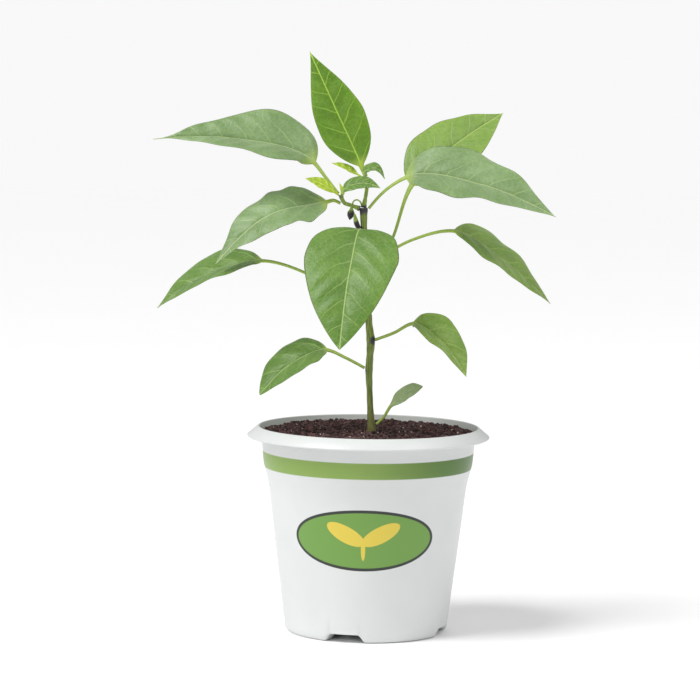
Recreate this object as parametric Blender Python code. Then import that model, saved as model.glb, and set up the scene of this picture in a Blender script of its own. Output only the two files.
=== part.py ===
"""Potted chilli pepper plant: a young plant in the soil of a moulded nursery pot.

The pot rests on z = 0 and its axis is the Z axis. +X is to the right and -Y is the front.
Sizes here are millimetres and degrees, and add_object() turns millimetres into metres.
"""

import math

import bmesh
import bpy
import numpy as np

MM = 0.001
GAP = 0.3  # clearance between two pieces that touch

# Pot: thin wall, sloped flange lip, foot ring with four notches, drain holes under the soil.
POT_SIDES = 48
WALL = 0.8
BOSS_RADIUS = 15.0  # flat disc in the middle of the underside
STEP_HEIGHT = 3.0  # the ring of drain holes stands this far above the resting plane
FOOT_RING = (31.5, 36.2)  # inner and outer radius of the ring that the pot stands on
NOTCH_HEIGHT = 4.0
NOTCH_FIRST = -16.0  # angle of the first notch from the front, towards +X
NOTCH_HALF_TOP = 9.6
NOTCH_HALF_FOOT = 15.5
DRAINS = 8
DRAIN_RADIUS = 3.0
DRAIN_CIRCLE = 23.5

# Outer radius of the pot's wall at each height: straight taper, shoulder, collar.
WALL_LINE = (
    (4.0, 38.6),
    (61.0, 45.7),
    (67.0, 46.4),
    (70.0, 46.9),
    (75.5, 48.2),
    (79.5, 49.3),
    (82.0, 49.6),
    (89.0, 50.2),
    (94.8, 50.9),
)

# Section of the lip, from the wall's top under the flange, round its edge and over the crest.
LIP_LINE = (
    (51.9, 95.8),
    (56.4, 92.0),
    (57.2, 92.2),
    (57.0, 92.9),
    (52.2, 97.0),
    (51.5, 96.6),
)
LIP_INNER_TOP = 93.6

SOIL_EDGE = 92.6
SOIL_TOP = 94.0

# Stem and branches: points of the centre line with the radius there.
STEM_FOOT = (1.6, -12.0)
STEM_BOTTOM = 78.0
STEM_RADIUS = 2.0
MAIN_STEM = (
    (1.6, -12.0, STEM_BOTTOM, STEM_RADIUS),
    (1.6, -12.0, 90.0, STEM_RADIUS),
    (1.5, -11.9, 94.5, STEM_RADIUS),
    (0.8, -11.0, 104.0, 1.6),
    (0.2, -10.0, 115.0, 1.4),
    (-0.2, -9.5, 124.5, 1.7),
    (0.4, -9.0, 138.0, 1.9),
    (-1.2, -8.0, 152.0, 1.7),
    (-2.1, -8.0, 164.0, 1.7),
    (-3.1, -6.0, 183.0, 1.7),
    (-3.6, -5.2, 195.0, 1.6),
    (-3.7, -5.0, 200.2, 1.9),
)
LEFT_BRANCH = (
    (-6.0, -5.3, 200.1, 1.2),
    (-10.0, -5.8, 201.6, 0.9),
    (-12.6, -6.2, 202.5, 0.9),
    (-13.8, -6.7, 204.2, 0.9),
    (-14.4, -7.0, 206.2, 1.3),
)
TOP_BRANCH = (
    (-3.7, -5.0, 200.7, 1.2),
    (-3.1, -4.8, 204.0, 0.9),
    (-2.4, -4.4, 209.0, 0.9),
    (-2.6, -4.2, 214.2, 1.2),
)
CROWN_BUD = (
    (-4.8, -3.7, 201.7, 0.35),
    (-5.4, -3.3, 203.2, 0.35),
    (-6.8, -3.0, 204.0, 0.35),
    (-8.2, -2.8, 203.5, 0.35),
    (-9.0, -2.8, 201.8, 0.35),
    (-9.3, -2.9, 199.8, 0.6),
    (-9.5, -2.9, 198.2, 1.4),
    (-9.8, -3.0, 196.4, 1.4),
    (-10.2, -3.0, 194.6, 0.3),
)
SIDE_SHOOT = (
    (-6.2, -6.0, 190.8, 0.9),
    (-6.9, -6.2, 193.0, 1.1),
    (-7.5, -6.4, 195.4, 0.9),
    (-8.0, -6.5, 197.8, 0.25),
)
SHOOT_TIP = (
    (-13.5, -6.6, 206.8, 0.7),
    (-13.7, -6.6, 208.4, 0.8),
    (-14.4, -6.6, 210.2, 0.6),
    (-15.1, -6.6, 211.8, 0.2),
)

LEAF_SIDES = 8
LEAF_THICKNESS = 0.5
LEAF_CAMBER = 0.2  # how far each half curls down, as a share of its width
PETIOLE_STATIONS = 6
BLADE_STATIONS = 14
YOUNG_PETIOLE_STATIONS = 3
YOUNG_BLADE_STATIONS = 8


class Leaf:
    """One leaf: a round petiole that widens into a folded, arched blade."""

    def __init__(self, name, root, stem_radius, base, tip, arches, width, turn, fold, outline,
                 stalk=0.7, young=False):
        self.name = name
        self.root = np.array(root)  # where the petiole's line meets the stem's centre line
        self.stem_radius = stem_radius  # 0 for a petiole that starts at its root point itself
        self.base = np.array(base)  # where the petiole meets the blade
        self.tip = np.array(tip)
        self.petiole_arch, self.blade_arch = arches  # rise of each stretch above its chord
        self.width = width
        self.turn = turn  # turn of the blade about its midrib
        self.fold = fold  # rise of each half from flat
        self.shoulder, self.taper = outline  # low: blunt end, high: drawn-out end
        self.stalk = stalk
        self.young = young


LEAVES = (
    Leaf("leaf_top", (-2.9, -3.8, 215.0), 0, (-5, -3, 220), (-30, 6, 273), (0, 0),
         24, -78, 8, (0.8, 1.3)),
    Leaf("leaf_upper_left", (-15.6, -6.8, 206.9), 0, (-27, -4, 221), (-103, 2, 231), (0, 6),
         38, -38, 31, (0.75, 1.8)),
    Leaf("leaf_branch_left", (-14.7, -6.6, 202.4), 0, (-21, -8, 203), (-72, -20, 174), (1, 9),
         30, -32, 16, (0.6, 1.1)),
    Leaf("leaf_back_right", (-2, -7, 164), 1.2, (19, 8, 211), (63, 38, 245), (-5, 3),
         33, 36, 20, (0.7, 1.15)),
    Leaf("leaf_fork_right", (-3.7, -5, 197.5), 1.9, (16, -9, 215), (85, -24, 198), (2, 6),
         37, 38, 24, (0.6, 1.2)),
    Leaf("leaf_middle_right", (-2.5, -7, 172), 1.7, (39, -4, 190), (85, 2, 156), (4, 4),
         31, 26, 16, (0.7, 1.1)),
    Leaf("leaf_front", (-3, -6, 183), 1.7, (-5, -14, 190), (-14, -55, 138), (1, 11),
         45, -4, 14, (0.65, 0.9), stalk=0.9),
    Leaf("leaf_middle_left", (-1.2, -8, 152), 1.7, (-51, -6, 175), (-100, -4, 152), (4, 5),
         33, -20, 22, (0.75, 1.1)),
    Leaf("leaf_lower_left", (-0.2, -9.5, 124.5), 1.7, (-20, -12, 134), (-51, -18, 113), (0.5, 5),
         27, -24, 20, (0.6, 0.8)),
    Leaf("leaf_lower_right", (0.4, -9, 138), 1.9, (20, -14, 147), (45, -20, 123), (-0.5, 5),
         26, 26, 30, (0.65, 1.0)),
    Leaf("seed_leaf", (1.3, -11.5, 97), 1.9, (10, -14, 108), (25, -18, 118), (-1, 2),
         11, 38, 12, (0.8, 0.9), stalk=0.6),
    Leaf("young_leaf_left", (-15.6, -8.2, 206.5), 0, (-17.6, -9.8, 208), (-31, -10.5, 214), (0, 1),
         7, -45, 16, (0.7, 1.1), stalk=0.4, young=True),
    Leaf("young_leaf_front", (-13.5, -8.6, 206.6), 0, (-13.2, -10, 208.4), (4, -14, 210), (0, 3),
         11, 35, 16, (0.6, 1.1), stalk=0.4, young=True),
    Leaf("young_leaf_right", (-3.2, -5.9, 214.4), 0, (-3.6, -6.4, 216.6), (6, -6.4, 214), (0, 4),
         8, 30, 20, (0.7, 1.1), stalk=0.4, young=True),
    Leaf("young_leaf_behind", (-4.2, -3.3, 214.3), 0, (-7, -2, 216), (-19, 0, 221), (0, 1),
         7, -20, 16, (0.7, 1.1), stalk=0.4, young=True),
)

COLOURS = {
    "pot": ((0.90, 0.91, 0.91), 0.38),
    "soil": ((0.045, 0.028, 0.024), 0.95),
    "stem": ((0.19, 0.24, 0.06), 0.50),
    "branch": ((0.33, 0.43, 0.12), 0.45),
    "leaf": ((0.15, 0.33, 0.07), 0.40),
    "young_leaf": ((0.50, 0.62, 0.05), 0.42),
    "bud": ((0.10, 0.11, 0.05), 0.50),
}


def clear_scene():
    for item in list(bpy.data.objects):
        bpy.data.objects.remove(item, do_unlink=True)


def make_materials():
    made = {}
    for name, (colour, roughness) in COLOURS.items():
        material = bpy.data.materials.new(name)
        material.use_nodes = True
        shader = material.node_tree.nodes["Principled BSDF"]
        shader.inputs["Base Color"].default_value = (*colour, 1.0)
        shader.inputs["Roughness"].default_value = roughness
        shader.inputs["Metallic"].default_value = 0.0
        made[name] = material
    return made


def add_object(name, points, faces, material):
    """Make an object from points in millimetres."""
    mesh = bpy.data.meshes.new(name)
    mesh.from_pydata([tuple(float(c) * MM for c in point) for point in points], [], faces)
    mesh.materials.append(material)
    mesh.shade_smooth()
    mesh.set_sharp_from_angle(angle=math.radians(40.0))
    item = bpy.data.objects.new(name, mesh)
    bpy.context.scene.collection.objects.link(item)
    return item


def add_cutter(name, places, radius, bottom, top, sides):
    """Upright cylinders at the given (x, y) places, kept out of the part."""
    bm = bmesh.new()
    for x, y in places:
        made = bmesh.ops.create_cone(bm, cap_ends=True, segments=sides, radius1=radius * MM,
                                     radius2=radius * MM, depth=(top - bottom) * MM)
        middle = (x * MM, y * MM, (top + bottom) * MM / 2)
        bmesh.ops.translate(bm, verts=made["verts"], vec=middle)
    mesh = bpy.data.meshes.new(name)
    bm.to_mesh(mesh)
    bm.free()
    cutter = bpy.data.objects.new(name, mesh)
    bpy.context.scene.collection.objects.link(cutter)
    cutter.hide_render = True
    cutter.display_type = "WIRE"
    return cutter


def cut(item, cutter):
    modifier = item.modifiers.new(cutter.name, "BOOLEAN")
    modifier.operation = "DIFFERENCE"
    modifier.solver = "EXACT"
    modifier.object = cutter


def on_circle(radius, angle):
    """Point at an angle from the front, turning towards +X."""
    return radius * math.sin(math.radians(angle)), -radius * math.cos(math.radians(angle))


def notch_share(angle):
    """1 inside a foot notch, 0 away from it, with sloped sides between."""
    quarter = 90.0
    off = abs((angle - NOTCH_FIRST + quarter / 2) % quarter - quarter / 2)
    share = (NOTCH_HALF_FOOT - off) / (NOTCH_HALF_FOOT - NOTCH_HALF_TOP)
    return min(1.0, max(0.0, share))


def turned(name, section, material):
    """Turn a section about Z. Each entry is (radius, height, height inside a notch)."""
    points = []
    starts = []
    for radius, height, notched in section:
        starts.append(len(points))
        if radius == 0:
            points.append((0, 0, height))
            continue
        for k in range(POT_SIDES):
            angle = NOTCH_FIRST + 360.0 * k / POT_SIDES
            lift = notch_share(angle) * (notched - height)
            points.append((*on_circle(radius, angle), height + lift))
    faces = []
    for i in range(len(section) - 1):
        a, b = starts[i], starts[i + 1]
        for k in range(POT_SIDES):
            n = (k + 1) % POT_SIDES
            if section[i][0] == 0:
                faces.append((a, b + n, b + k))
            elif section[i + 1][0] == 0:
                faces.append((a + k, a + n, b))
            else:
                faces.append((a + k, a + n, b + n, b + k))
    return add_object(name, points, faces, material)


def level(radius, height):
    return radius, height, height


def pot_section():
    ring_in, ring_out = FOOT_RING
    floor = STEP_HEIGHT + WALL
    notch_roof = NOTCH_HEIGHT + WALL
    corner = WALL_LINE[0][1]
    section = [
        level(0, 0),
        level(BOSS_RADIUS, 0),
        level(BOSS_RADIUS + 2.5, STEP_HEIGHT),
        level(ring_in - 2.0, STEP_HEIGHT),
        (ring_in, 0, NOTCH_HEIGHT),
        (ring_out, 0, NOTCH_HEIGHT),
        (corner - 1.0, 0.5, NOTCH_HEIGHT),
        (corner - 0.3, 1.8, NOTCH_HEIGHT),
    ]
    section += [level(radius, height) for height, radius in WALL_LINE]
    section += [level(radius, height) for radius, height in LIP_LINE]
    section.append(level(WALL_LINE[-1][1] - WALL + 0.2, LIP_INNER_TOP))
    section += [level(radius - WALL, height) for height, radius in reversed(WALL_LINE[1:-1])]
    section += [
        level(corner - WALL, notch_roof),
        (corner - 1.5, 2.2, notch_roof),
        (ring_out - 0.3, WALL, notch_roof),
        (ring_in + 0.6, WALL, notch_roof),
        level(ring_in - 1.6, floor),
        level(BOSS_RADIUS + 2.1, floor),
        level(BOSS_RADIUS - 0.4, WALL),
        level(0, WALL),
    ]
    return section


def soil_section():
    """The soil lies over the foot ring's trough, and its top is slightly crowned."""
    ring_in = FOOT_RING[0]
    inset = WALL + GAP
    floor = STEP_HEIGHT + inset
    notch_roof = NOTCH_HEIGHT + inset
    corner = WALL_LINE[0][1]
    section = [
        level(0, inset),
        level(BOSS_RADIUS - 0.6, inset),
        level(BOSS_RADIUS + 1.9, floor),
        level(ring_in - 1.4, floor),
        level(ring_in + 0.9, notch_roof),
        level(corner - inset, notch_roof),
    ]
    section += [level(radius - inset, height) for height, radius in WALL_LINE[1:-1]]
    edge = WALL_LINE[-2][1] - inset
    section += [level(edge + 0.4, SOIL_EDGE), level(edge - 2.0, SOIL_TOP - 0.5), level(0, SOIL_TOP)]
    return section


def make_pot(material):
    pot = turned("pot", pot_section(), material)
    places = [on_circle(DRAIN_CIRCLE, 360.0 * k / DRAINS) for k in range(DRAINS)]
    top = STEP_HEIGHT + 2 * WALL
    cut(pot, add_cutter("drain_cutter", places, DRAIN_RADIUS, STEP_HEIGHT - WALL, top, 12))


def make_soil(material):
    soil = turned("potting_soil", soil_section(), material)
    hole = add_cutter("stem_hole_cutter", [STEM_FOOT], STEM_RADIUS + GAP, STEM_BOTTOM - GAP,
                      SOIL_TOP + 2.0, 16)
    cut(soil, hole)


def smooth_line(knots, steps):
    """Curve through the knots, any number of columns, with steps points from knot to knot."""
    knots = np.array(knots, dtype=float)
    spans = np.linalg.norm(np.diff(knots[:, :3], axis=0), axis=1)
    slopes = np.diff(knots, axis=0) / spans[:, None]
    tangents = np.zeros_like(knots)
    before, after = spans[:-1, None], spans[1:, None]
    tangents[1:-1] = (slopes[:-1] * after + slopes[1:] * before) / (before + after)
    tangents[0] = 1.5 * slopes[0] - 0.5 * tangents[1]
    tangents[-1] = 1.5 * slopes[-1] - 0.5 * tangents[-2]
    line = []
    for i, span in enumerate(spans):
        count = steps[i]
        for t in np.arange(count) / count:
            h = t * t * (3 - 2 * t)
            ease_out = (t ** 3 - 2 * t * t + t) * span
            ease_in = (t ** 3 - t * t) * span
            line.append((1 - h) * knots[i] + h * knots[i + 1]
                        + ease_out * tangents[i] + ease_in * tangents[i + 1])
    line.append(knots[-1])
    return np.array(line)


def directions(line):
    """Unit direction of travel at each point of a line."""
    step = np.gradient(line, axis=0)
    return step / np.linalg.norm(step, axis=1)[:, None]


def side_vector(direction, guide):
    """The guide made square to the direction."""
    side = guide - direction * float(guide @ direction)
    return side / np.linalg.norm(side)


def skin(rings, pointed):
    """Close rings of points into one body, with a flat start and a flat or pointed end."""
    count, sides = len(rings), len(rings[0])
    points = [point for ring in rings for point in ring]
    faces = [tuple(reversed(range(sides)))]
    for i in range(count - 1):
        for k in range(sides):
            n = (k + 1) % sides
            a, b = i * sides + k, i * sides + n
            c, d = b + sides, a + sides
            if k < sides // 2:
                faces += [(a, b, c), (a, c, d)]
            else:
                faces += [(a, b, d), (b, c, d)]
    last = (count - 1) * sides
    if pointed:
        points.append(np.mean(rings[-1], axis=0) * 1.5 - np.mean(rings[-2], axis=0) * 0.5)
        faces += [(last + k, last + (k + 1) % sides, len(points) - 1) for k in range(sides)]
    else:
        faces.append(tuple(range(last, last + sides)))
    return points, faces


def make_tube(name, knots, material, steps=2, sides=8, pointed=False):
    """A round stem, branch or bud along its centre line."""
    line = smooth_line(knots, [steps] * (len(knots) - 1))
    guide = np.array((0.0, 1.0, 0.0))
    rings = []
    for point, direction in zip(line, directions(line[:, :3])):
        side = side_vector(direction, guide)
        up = np.cross(direction, side)
        turns = np.arange(sides) * 2 * math.pi / sides
        rings.append([point[:3] + point[3] * (side * math.cos(t) + up * math.sin(t)) for t in turns])
    points, faces = skin(rings, pointed)
    add_object(name, points, faces, material)


def above_middle(start, end, rise):
    return (start + end) / 2 + np.array((0.0, 0.0, rise))


def petiole_start(leaf, stem_direction):
    """First point of the petiole, clear of the stem that carries it."""
    if leaf.stem_radius == 0:
        return leaf.root
    aim = above_middle(leaf.root, leaf.base, leaf.petiole_arch) - leaf.root
    aim = aim / np.linalg.norm(aim)
    cosine = abs(float(aim @ stem_direction))
    sine = math.sqrt(1 - cosine * cosine)
    return leaf.root + aim * (leaf.stem_radius + GAP + leaf.stalk * cosine) / sine


def half_width(leaf, t):
    """Half the blade's width at share t of its length."""
    widest = leaf.shoulder / (leaf.shoulder + leaf.taper)
    peak = widest ** leaf.shoulder * (1 - widest) ** leaf.taper
    return leaf.width / 2 * t ** leaf.shoulder * (1 - t) ** leaf.taper / peak


def leaf_ring(leaf, point, direction, guide, t):
    """Ring of points round the petiole (t below 0) or the blade (t from 0 to 1)."""
    blade = min(1.0, max(0.0, t / 0.08))
    share = min(1.0, max(0.0, t))
    fold = math.radians(leaf.fold) * blade
    turn = math.radians(leaf.turn)
    flat_side = side_vector(direction, guide)
    flat_up = np.cross(direction, flat_side)
    side = math.cos(turn) * flat_side + math.sin(turn) * flat_up
    up = np.cross(direction, side)
    stalk = leaf.stalk * (1 - 0.8 * share)
    half = math.hypot(stalk, half_width(leaf, share))
    thick = LEAF_THICKNESS / 2 + (leaf.stalk - LEAF_THICKNESS / 2) * math.exp(-share / 0.1)
    ring = []
    for k in range(LEAF_SIDES):
        angle = 2 * math.pi * k / LEAF_SIDES
        across = math.cos(angle)
        lateral = half * across * math.cos(fold)
        height = thick * math.sin(angle) + half * abs(across) * math.sin(fold)
        height -= LEAF_CAMBER * half * across * across * blade
        ring.append(point + side * lateral + up * height)
    return ring


def make_leaf(leaf, stem_direction, material):
    start = petiole_start(leaf, stem_direction)
    knots = [
        start,
        above_middle(start, leaf.base, leaf.petiole_arch),
        leaf.base,
        above_middle(leaf.base, leaf.tip, leaf.blade_arch),
        leaf.tip,
    ]
    stalk_steps = YOUNG_PETIOLE_STATIONS if leaf.young else PETIOLE_STATIONS
    blade_steps = YOUNG_BLADE_STATIONS if leaf.young else BLADE_STATIONS
    half_stalk, half_blade = (stalk_steps + 1) // 2, blade_steps // 2
    line = smooth_line(knots, [half_stalk, half_stalk, half_blade, half_blade])
    chord = leaf.tip - leaf.base
    guide = np.array((-chord[1], chord[0], 0.0)) / math.hypot(chord[0], chord[1])
    rings = []
    for i, (point, direction) in enumerate(zip(line[:-1], directions(line))):
        t = (i - 2 * half_stalk) / (2 * half_blade)
        rings.append(leaf_ring(leaf, point, direction, guide, t))
    points, faces = skin(rings, pointed=False)
    tip = len(points)
    points.append(leaf.tip)
    last = tip - LEAF_SIDES
    faces.pop()
    faces += [(last + k, last + (k + 1) % LEAF_SIDES, tip) for k in range(LEAF_SIDES)]
    add_object(leaf.name, points, faces, material)


def main():
    clear_scene()
    finish = make_materials()
    make_pot(finish["pot"])
    make_soil(finish["soil"])
    make_tube("main_stem", MAIN_STEM, finish["stem"], sides=10)
    make_tube("left_branch", LEFT_BRANCH, finish["branch"])
    make_tube("top_branch", TOP_BRANCH, finish["branch"])
    make_tube("crown_bud", CROWN_BUD, finish["bud"], sides=6)
    make_tube("side_shoot", SIDE_SHOOT, finish["bud"], sides=6)
    make_tube("shoot_tip", SHOOT_TIP, finish["young_leaf"], sides=6)
    upright = np.array((0.0, 0.0, 1.0))
    for leaf in LEAVES:
        make_leaf(leaf, upright, finish["young_leaf" if leaf.young else "leaf"])


main()
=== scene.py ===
"""Looks of the potted chilli pepper plant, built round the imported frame.

Lengths in the classes are millimetres, and Piece turns them into the metres of the frame.
"""

import logging
import math
from dataclasses import dataclass, field
from enum import Enum

import bpy
import numpy as np
from mathutils import Matrix, Vector, noise


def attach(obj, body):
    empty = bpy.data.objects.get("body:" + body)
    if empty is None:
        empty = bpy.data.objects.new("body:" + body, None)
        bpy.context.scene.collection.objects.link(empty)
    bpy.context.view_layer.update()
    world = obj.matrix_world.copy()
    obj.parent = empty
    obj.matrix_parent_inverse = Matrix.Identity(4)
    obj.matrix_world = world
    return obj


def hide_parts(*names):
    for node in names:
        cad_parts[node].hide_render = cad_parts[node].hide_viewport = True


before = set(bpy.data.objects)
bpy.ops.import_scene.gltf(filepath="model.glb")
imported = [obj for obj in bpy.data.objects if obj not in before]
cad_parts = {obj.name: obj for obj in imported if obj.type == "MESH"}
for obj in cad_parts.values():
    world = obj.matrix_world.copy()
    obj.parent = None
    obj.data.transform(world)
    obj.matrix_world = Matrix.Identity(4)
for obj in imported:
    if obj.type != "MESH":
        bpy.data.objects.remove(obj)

logging.basicConfig(level=logging.INFO, format="%(name)s: %(message)s")
LOG = logging.getLogger("chilli_plant")

MM = 0.001
BODY = "root"


class Slot(Enum):
    """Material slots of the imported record."""

    POT = "pot"
    SOIL = "soil"
    STEM = "stem"
    BRANCH = "branch"
    LEAF = "leaf"
    YOUNG = "young_leaf"
    BUD = "bud"


class Crumb(Enum):
    """Shapes that are scattered over the compost."""

    GRAIN = "grain"
    FIBRE = "fibre"


def linear(code: str) -> tuple[float, float, float, float]:
    """Turn an sRGB hex colour into linear RGBA.

    Args:
        code: six hex digits, such as "6F9A3E".

    Returns:
        Linear red, green, blue and an alpha of 1.
    """
    parts = [int(code[i:i + 2], 16) / 255 for i in (0, 2, 4)]
    out = [c / 12.92 if c <= 0.04045 else ((c + 0.055) / 1.055) ** 2.4 for c in parts]
    return (*out, 1.0)


def add_node(tree: bpy.types.NodeTree, kind: str, values: dict | None = None,
             links: dict | None = None, **settings: object) -> bpy.types.Node:
    """Add a node with its settings, socket values and incoming links.

    Args:
        tree: node tree that gets the node.
        kind: the node's type name.
        values: socket name or number to value.
        links: socket name or number to the output that feeds it.
        settings: attributes set on the node.

    Returns:
        The new node.
    """
    node = tree.nodes.new(kind)
    for key, value in settings.items():
        setattr(node, key, value)
    for key, value in (values or {}).items():
        node.inputs[key].default_value = value
    for key, source in (links or {}).items():
        tree.links.new(source, node.inputs[key])
    return node


@dataclass
class Paint:
    """A material under construction, with short ways to combine values.

    Args:
        name: the material's name.
    """

    name: str

    def __post_init__(self) -> None:
        """Start an empty Principled material."""
        self.material = bpy.data.materials.new(self.name)
        self.material.use_nodes = True
        self.tree = self.material.node_tree
        self.shader = self.tree.nodes["Principled BSDF"]
        place = add_node(self.tree, "ShaderNodeTexCoord")
        self.place = place.outputs["Object"]

    def math(self, operation: str, a: object, b: object = 0.0) -> bpy.types.NodeSocket:
        """Combine two values or sockets with a maths operation."""
        node = add_node(self.tree, "ShaderNodeMath", operation=operation)
        for i, item in enumerate((a, b)):
            if isinstance(item, bpy.types.NodeSocket):
                self.tree.links.new(item, node.inputs[i])
            else:
                node.inputs[i].default_value = item
        return node.outputs[0]

    def ramp(self, value: bpy.types.NodeSocket, low: float, high: float,
             to_low: float = 0.0, to_high: float = 1.0) -> bpy.types.NodeSocket:
        """Smooth step of a value from low to high."""
        values = {"From Min": low, "From Max": high, "To Min": to_low, "To Max": to_high}
        node = add_node(self.tree, "ShaderNodeMapRange", values, {"Value": value},
                        interpolation_type="SMOOTHSTEP")
        return node.outputs["Result"]

    def mix(self, share: object, a: object, b: object) -> bpy.types.NodeSocket:
        """Mix two colours, each a hex code or a socket, by a share."""
        node = add_node(self.tree, "ShaderNodeMix", data_type="RGBA")
        for key, item in ((0, share), (6, a), (7, b)):
            if isinstance(item, bpy.types.NodeSocket):
                self.tree.links.new(item, node.inputs[key])
            else:
                node.inputs[key].default_value = linear(item) if isinstance(item, str) else item
        return node.outputs[2]

    def noise(self, size: float, detail: float = 3.0) -> bpy.types.NodeSocket:
        """Noise whose lumps measure about size millimetres."""
        values = {"Scale": 1 / (size * MM), "Detail": detail}
        return add_node(self.tree, "ShaderNodeTexNoise", values, {"Vector": self.place}).outputs[0]

    def attribute(self, name: str) -> bpy.types.NodeSocket:
        """A number kept on the piece's points."""
        return add_node(self.tree, "ShaderNodeAttribute", attribute_name=name).outputs["Fac"]

    def bump(self, height: bpy.types.NodeSocket, depth: float, strength: float = 1.0,
             under: bpy.types.NodeSocket | None = None) -> bpy.types.NodeSocket:
        """Bump of the given depth in millimetres."""
        links = {"Height": height}
        if under is not None:
            links["Normal"] = under
        values = {"Distance": depth * MM, "Strength": strength}
        return add_node(self.tree, "ShaderNodeBump", values, links).outputs[0]

    def finish(self, colour: object, normal: object, **sockets: float) -> bpy.types.Material:
        """Wire the colour and normal in, set the shader's own sockets and return the material."""
        self.tree.links.new(colour, self.shader.inputs["Base Color"])
        if normal is not None:
            self.tree.links.new(normal, self.shader.inputs["Normal"])
        for key, value in sockets.items():
            self.shader.inputs[key.replace("_", " ").title().replace("Ior", "IOR")].default_value = value
        return self.material


@dataclass(frozen=True)
class MouldedPolypropylene:
    """Injection-moulded polypropylene: white, satin, faintly rippled, with a printed band that is
    painted darker on the right as painted shade.
    """

    white: str = "DCDEDD"
    shade: str = "D2D5D4"
    band: str = "86A44F"
    # Painted shade: the band's colour on the right-hand side of the pot, away from the key light.
    band_painted_shade: str = "4C702A"
    badge: str = "6E9A45"
    outline: str = "2E322C"
    motif: str = "DCC54A"
    band_low: float = 77.9
    band_high: float = 85.5
    roughness: float = 0.36

    def make(self) -> bpy.types.Material:
        """Build the material."""
        p = Paint("injection_moulded_polypropylene")
        axes = add_node(p.tree, "ShaderNodeSeparateXYZ", None, {0: p.place}).outputs
        height = axes["Z"]
        soft = 0.25 * MM
        above = p.ramp(height, self.band_low * MM - soft, self.band_low * MM + soft)
        below = p.ramp(height, self.band_high * MM - soft, self.band_high * MM + soft, 1.0, 0.0)
        printed = p.math("MULTIPLY", above, below)
        # Only the outside of the wall is printed: the inside lies behind this radius.
        flat = add_node(p.tree, "ShaderNodeVectorMath", {1: (1, 1, 0)}, {0: p.place},
                        operation="MULTIPLY").outputs[0]
        radius = add_node(p.tree, "ShaderNodeVectorMath", None, {0: flat},
                          operation="LENGTH").outputs["Value"]
        wall = p.math("SUBTRACT", radius, p.math("MULTIPLY", height, 0.13))
        outside = p.ramp(wall, 38.3 * MM, 38.5 * MM)
        body = p.mix(p.noise(18), self.white, self.shade)
        # The band is painted darker towards the right-hand side of the pot: painted shade on the side
        # turned away from the key light.
        band = p.mix(p.ramp(axes["X"], -10 * MM, 46 * MM), self.band, self.band_painted_shade)
        colour = p.mix(p.math("MULTIPLY", printed, outside), body, band)
        colour = self.badge_print(p, axes, colour)
        ripple = p.bump(p.noise(9, 1), 0.06, 0.5)
        return p.finish(colour, ripple, roughness=self.roughness, ior=1.49)


    def badge_print(self, p: Paint, axes: object, colour: bpy.types.NodeSocket) -> bpy.types.NodeSocket:
        """Print a plain oval with two crossed leaves and a stalk on the front of the wall.

        Args:
            p: the material under construction.
            axes: separated object coordinates.
            colour: colour of the wall.

        Returns:
            The printed colour.
        """
        angle = p.math("ARCTAN2", axes["X"], p.math("MULTIPLY", axes["Y"], -1.0))
        arc = p.math("MULTIPLY", angle, 43.5)
        height = p.math("MULTIPLY", axes["Z"], 1 / MM)
        rim = self.oval(p, arc, height, (-2.0, 49.0), (34.4, 14.4), 0.0)
        face = self.oval(p, arc, height, (-2.0, 49.0), (33.0, 13.0), 0.0)
        colour = p.mix(rim, colour, self.outline)
        colour = p.mix(face, colour, self.badge)
        for middle, size, lean in (((-10.0, 51.8), (9.6, 3.8), -28.0), ((6.0, 51.8), (9.6, 3.8), 28.0),
                                   ((-2.0, 44.6), (1.0, 5.0), 0.0)):
            leaf = self.oval(p, arc, height, middle, size, lean)
            colour = p.mix(leaf, colour, self.motif)
        return colour

    @staticmethod
    def oval(p: Paint, arc: bpy.types.NodeSocket, height: bpy.types.NodeSocket,
             middle: tuple[float, float], size: tuple[float, float],
             lean: float) -> bpy.types.NodeSocket:
        """Mask of a leaning oval, in millimetres along the wall and up it."""
        cos, sin = math.cos(math.radians(lean)), math.sin(math.radians(lean))
        across = p.math("SUBTRACT", arc, middle[0])
        up = p.math("SUBTRACT", height, middle[1])
        a = p.math("ADD", p.math("MULTIPLY", across, cos), p.math("MULTIPLY", up, sin))
        b = p.math("SUBTRACT", p.math("MULTIPLY", up, cos), p.math("MULTIPLY", across, sin))
        square = p.math("ADD", p.math("POWER", p.math("ABSOLUTE", p.math("DIVIDE", a, size[0])), 2.0),
                        p.math("POWER", p.math("ABSOLUTE", p.math("DIVIDE", b, size[1])), 2.0))
        blur = 0.15 / min(size)
        return p.ramp(square, 1 - blur, 1 + blur, 1.0, 0.0)


@dataclass(frozen=True)
class PeatCompost:
    """Milled peat compost: damp, nearly black-brown crumbs with redder flecks."""

    dark: str = "27181A"
    light: str = "674846"
    fleck: str = "7C5548"

    def make(self) -> bpy.types.Material:
        """Build the material."""
        p = Paint("milled_peat_compost")
        lumps = p.mix(p.ramp(p.noise(2.2), 0.42, 0.62), self.dark, self.light)
        colour = p.mix(p.ramp(p.noise(0.9, 2), 0.60, 0.72, 0.0, 0.6), lumps, self.fleck)
        normal = p.bump(p.noise(0.7, 4), 0.5, 1.0)
        return p.finish(colour, normal, roughness=0.92)


@dataclass(frozen=True)
class Mineral:
    """Grit, perlite or a root fibre in the compost: dull, with a mottled tone."""

    name: str
    dark: str
    light: str
    grain: float = 0.6

    def make(self) -> bpy.types.Material:
        """Build the material."""
        p = Paint(self.name)
        colour = p.mix(p.ramp(p.noise(self.grain), 0.35, 0.65), self.dark, self.light)
        return p.finish(colour, p.bump(p.noise(self.grain / 2), 0.15, 0.8), roughness=0.85)


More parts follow.
